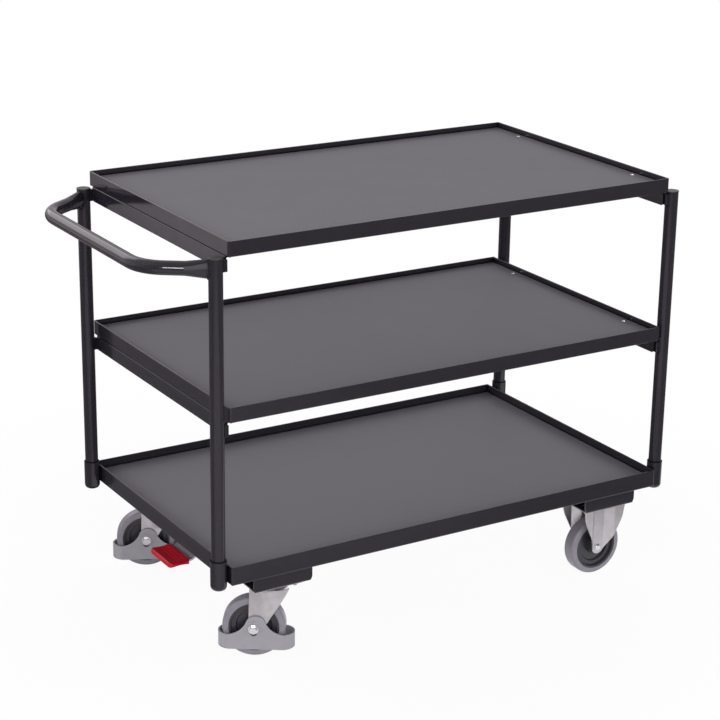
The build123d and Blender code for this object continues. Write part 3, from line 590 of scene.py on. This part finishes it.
corners = ((-1, -1), (1, -1), (1, 1), (-1, 1))
mouthAt = 2 * screwLook["rise"]  # the cutter stands clear of the head
blades = bmesh.new()
for long, short in ((screwLook["recess"], screwLook["blade"]), (screwLook["blade"], screwLook["recess"])):
    outline = [(sx * long, sy * short) for sx, sy in corners]
    mouth = [(x, y, mouthAt) for x, y in outline]
    foot = [(x * screwLook["taper"], y * screwLook["taper"], -screwLook["deep"]) for x, y in outline]
    bottom = [blades.verts.new(p) for p in foot]
    top = [blades.verts.new(p) for p in mouth]
    blades.faces.new(list(reversed(bottom)))
    blades.faces.new(top)
    for k in range(len(corners)):
        n = (k + 1) % len(corners)
        blades.faces.new((bottom[k], bottom[n], top[n], top[k]))
oneScrew = cutMesh(turnedSolid(turned, screwLook["sides"]), blades)
screwMesh = bpy.data.meshes.new("oneScrew")
oneScrew.to_mesh(screwMesh)
oneScrew.free()
screws = bmesh.new()
screwX = (low.x + high.x) / 2
screwYs = (low.y + screwLook["head"], high.y - screwLook["head"])
for index, (y, top) in enumerate((y, top) for top in tops for y in screwYs):
    first = len(screws.verts)
    screws.from_mesh(screwMesh)
    screws.verts.ensure_lookup_table()
    spin = Matrix.Rotation(screwLook["firstTurn"] + screwLook["nextTurn"] * index, 4, "Z")
    bmesh.ops.transform(screws, matrix=Matrix.Translation((screwX, y, top)) @ spin, verts=screws.verts[first:])
shelfScrews = addPiece("crossHeadScrews", screws, "chassis", "zinc")
shelfScrews.data.materials[0] = fastener
shelfScrews.data.set_sharp_from_angle(angle=radians(screwLook["crease"]))
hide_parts("shelf_screws")
print("screws set")

# Studio: a pale floor that runs out to white. In reflections it glows as a painted reflection, lit by no lamp: a bright
# sheet under the trolley, a bright pool and a dimmer apron in front and a bright wall behind the push handle, with the
# unlit room round them
studio = {
    "floorSize": 24.0, "floorColour": "#f2f2f2", "floorRough": 0.9, "white": "#ffffff",
    "nearLift": 0.92, "nearAt": 0.7, "farAt": 1.5, "room": 0.22, "roomTint": "#fff3fa",
    "sheet": 1.0, "sheetFrom": 0.33, "sheetTo": 0.49, "sheetShift": (-0.12, 0.18, 0.0), "sheetScale": (0.4, 1.0, 1.0),
    "pool": 0.75, "poolFrom": 0.9, "poolTo": 1.9, "poolAt": (-1.1, -1.7, 0.0),
    "apron": 0.55, "apronFrom": 0.2, "apronTo": 1.4, "apronAt": (-0.15, -1.2, 0.0),
    "wall": 0.78, "wallFrom": 1.9, "wallTo": 2.35, "wallSide": -0.9, "wallSideTo": -1.3, "wallLean": (1.0, 0.2, 0.0),
    "skyTurn": 0.5, "band": 3.65, "ambient": 0.06, "bandAt": 0.33, "bandFrom": 0.1, "bandTo": 0.28,
}
bpy.ops.mesh.primitive_plane_add(size=studio["floorSize"])
floor = bpy.context.object
floor.name = "studioFloor"
floorPaint, shader = newMaterial(
    "matFloorPaint", {"Base Color": hexColour(studio["floorColour"]), "Roughness": studio["floorRough"]},
)
floor.data.materials.append(floorPaint)
output = floorPaint.node_tree.nodes["Material Output"]
place = addNode(floorPaint, "TexCoord")
seen = addNode(floorPaint, "LightPath")
away = addNode(floorPaint, "VectorMath", vectorLength, None, {0: (place, "Object")})
reach = addNode(  # the floor as it is seen, which lets the shadow through near the trolley
    floorPaint, "MapRange", smooth,
    {"From Min": studio["nearAt"], "From Max": studio["farAt"], "To Min": studio["nearLift"], "To Max": 1.0},
    {"Value": (away, "Value")},
)
shown = addNode(floorPaint, "Math", larger, None, {0: (seen, "Is Camera Ray"), 1: (seen, "Is Transmission Ray")})
direct = addNode(floorPaint, "Math", product, None, {0: (reach, 0), 1: (shown, 0)})
lift = addNode(floorPaint, "Math", larger, None, {0: (direct, 0), 1: (seen, "Is Glossy Ray")})
# Painted reflections: the glow that gloss sees on the floor, shaped into the sheet, pool, apron and wall
spread = addNode(
    floorPaint, "Mapping", None,
    {"Location": studio["sheetShift"], "Scale": studio["sheetScale"]}, {"Vector": (place, "Object")},
)
beside = addNode(floorPaint, "VectorMath", vectorLength, None, {0: (spread, 0)})
under = addNode(
    floorPaint, "MapRange", smooth,
    {"From Min": studio["sheetFrom"], "From Max": studio["sheetTo"], "To Min": 1.0, "To Max": 0.0},
    {"Value": (beside, "Value")},
)
sheet = addNode(
    floorPaint, "MapRange", None, {"To Min": studio["room"], "To Max": studio["sheet"]}, {"Value": (under, 0)},
)
fromPool = addNode(floorPaint, "VectorMath", distance, {1: studio["poolAt"]}, {0: (place, "Object")})
pool = addNode(
    floorPaint, "MapRange", smooth,
    {"From Min": studio["poolFrom"], "From Max": studio["poolTo"], "To Min": studio["pool"], "To Max": 0.0},
    {"Value": (fromPool, "Value")},
)
fromApron = addNode(floorPaint, "VectorMath", distance, {1: studio["apronAt"]}, {0: (place, "Object")})
apron = addNode(
    floorPaint, "MapRange", smooth,
    {"From Min": studio["apronFrom"], "From Max": studio["apronTo"], "To Min": studio["apron"], "To Max": 0.0},
    {"Value": (fromApron, "Value")},
)
depth = addNode(floorPaint, "SeparateXYZ", None, None, {0: (place, "Object")})
behind = addNode(
    floorPaint, "MapRange", smooth,
    {"From Min": studio["wallFrom"], "From Max": studio["wallTo"], "To Max": studio["wall"]},
    {"Value": (depth, "Y")},
)
lean = addNode(floorPaint, "VectorMath", dotProduct, {1: studio["wallLean"]}, {0: (place, "Object")})
aside = addNode(
    floorPaint, "MapRange", smooth,
    {"From Min": studio["wallSideTo"], "From Max": studio["wallSide"], "To Min": 1.0, "To Max": 0.0},
    {"Value": (lean, "Value")},
)
wall = addNode(floorPaint, "Math", product, None, {0: (behind, 0), 1: (aside, 0)})
lit = addNode(floorPaint, "Math", larger, None, {0: (sheet, 0), 1: (pool, 0)})
front = addNode(floorPaint, "Math", larger, None, {0: (lit, 0), 1: (apron, 0)})
mirrored = addNode(floorPaint, "Math", larger, None, {0: (front, 0), 1: (wall, 0)})
strength = addNode(floorPaint, "Math", larger, None, {0: (mirrored, 0), 1: (shown, 0)})
plain = addNode(floorPaint, "Math", larger, None, {0: (under, 0), 1: (shown, 0)})
tint = addNode(
    floorPaint, "Mix", colourMix,
    {6: hexColour(studio["roomTint"]), 7: hexColour(studio["white"])}, {0: (plain, 0)},
)
glow = addNode(floorPaint, "Emission", None, None, {"Color": (tint, 2), "Strength": (strength, 0)})
blend = addNode(floorPaint, "MixShader", None, None, {0: (lift, 0), 1: (shader, 0), 2: (glow, 0)})
floorPaint.node_tree.links.new(blend.outputs[0], output.inputs[0])

world = bpy.data.worlds.new("paleStudio")
scene.world = world
world.use_nodes = True
sky = world.node_tree.nodes["Background"]
path = addNode(world, "LightPath")
heading = addNode(world, "TexCoord")
compass = addNode(world, "SeparateXYZ", None, None, {0: (heading, "Generated")})
rise = addNode(world, "Math", {"operation": "SUBTRACT"}, {1: studio["bandAt"]}, {0: (compass, "Z")})
offBand = addNode(world, "Math", {"operation": "ABSOLUTE"}, None, {0: (rise, 0)})
dome = addNode(  # a lit band all round, low enough to reach in under the shelves
    world, "MapRange", smooth,
    {
        "From Min": studio["bandFrom"], "From Max": studio["bandTo"],
        "To Min": studio["band"], "To Max": studio["ambient"],
    },
    {"Value": (offBand, 0)},
)
wall = addNode(
    world, "MapRange", smooth,
    {"From Min": -studio["skyTurn"], "From Max": studio["skyTurn"], "To Min": studio["room"], "To Max": studio["wall"]},
    {"Value": (compass, "Y")},
)
direct = addNode(world, "Math", larger, None, {0: (path, "Is Camera Ray"), 1: (path, "Is Transmission Ray")})
soft = addNode(world, "Mix", None, None, {0: (path, "Is Glossy Ray"), 2: (dome, 0), 3: (wall, 0)})
strength = addNode(world, "Math", larger, None, {0: (direct, 0), 1: (soft, 0)})
tint = addNode(
    world, "Mix", colourMix,
    {6: hexColour(studio["white"]), 7: hexColour(studio["roomTint"])}, {0: (path, "Is Glossy Ray")},
)
world.node_tree.links.new(tint.outputs[2], sky.inputs["Color"])
world.node_tree.links.new(strength.outputs[0], sky.inputs["Strength"])

# Lamps that are glint only are seen in gloss and light nothing else
lampAim = (0.05, 0.0, 0.4)
lamps = [
    {"name": "keySoftbox", "at": (-2.2, -0.6, 3.0), "size": 2.2, "power": 3, "glintOnly": False},
    {"name": "fillSoftbox", "at": (-1.6, -4.0, 1.8), "size": 3.4, "power": 48, "glintOnly": False},
    {"name": "overheadStrip", "at": (0.6, -0.2, 3.2), "size": 1.6, "power": 40, "glintOnly": True},
    {"name": "rearStrip", "at": (-1.0, 3.0, 2.5), "size": 2.4, "power": 30, "glintOnly": True},
    {"name": "glintSpot", "at": (-3.1, -3.1, 1.95), "size": 0.6, "power": 28, "glintOnly": True},
]
for lamp in lamps:
    light = bpy.data.lights.new(lamp["name"], "AREA")
    light.size = lamp["size"]
    light.energy = lamp["power"]
    box = bpy.data.objects.new(lamp["name"], light)
    scene.collection.objects.link(box)
    box.location = lamp["at"]
    box.rotation_euler = (Vector(lampAim) - box.location).to_track_quat("-Z", "Y").to_euler()
    box.visible_diffuse = not lamp["glintOnly"]

# The camera as it was fitted to the photo: metres, degrees, and millimetres of lens and sensor
view = {
    "at": (-2.06305, -3.40563, 1.84004), "yaw": 31.3887, "pitch": 18.8505, "roll": 0.8173,
    "lens": 101.630, "sensor": 36.0,
}
lens = bpy.data.cameras.new("photoCamera")
lens.sensor_width = view["sensor"]
lens.lens = view["lens"]
camera = bpy.data.objects.new("photoCamera", lens)
scene.collection.objects.link(camera)
turn = Matrix.Rotation(-radians(view["yaw"]), 4, "Z") @ Matrix.Rotation(pi / 2 - radians(view["pitch"]), 4, "X")
camera.matrix_world = Matrix.Translation(view["at"]) @ turn @ Matrix.Rotation(radians(view["roll"]), 4, "Z")
scene.camera = camera
scene.view_settings.view_transform = "Standard"
print("studio ready")
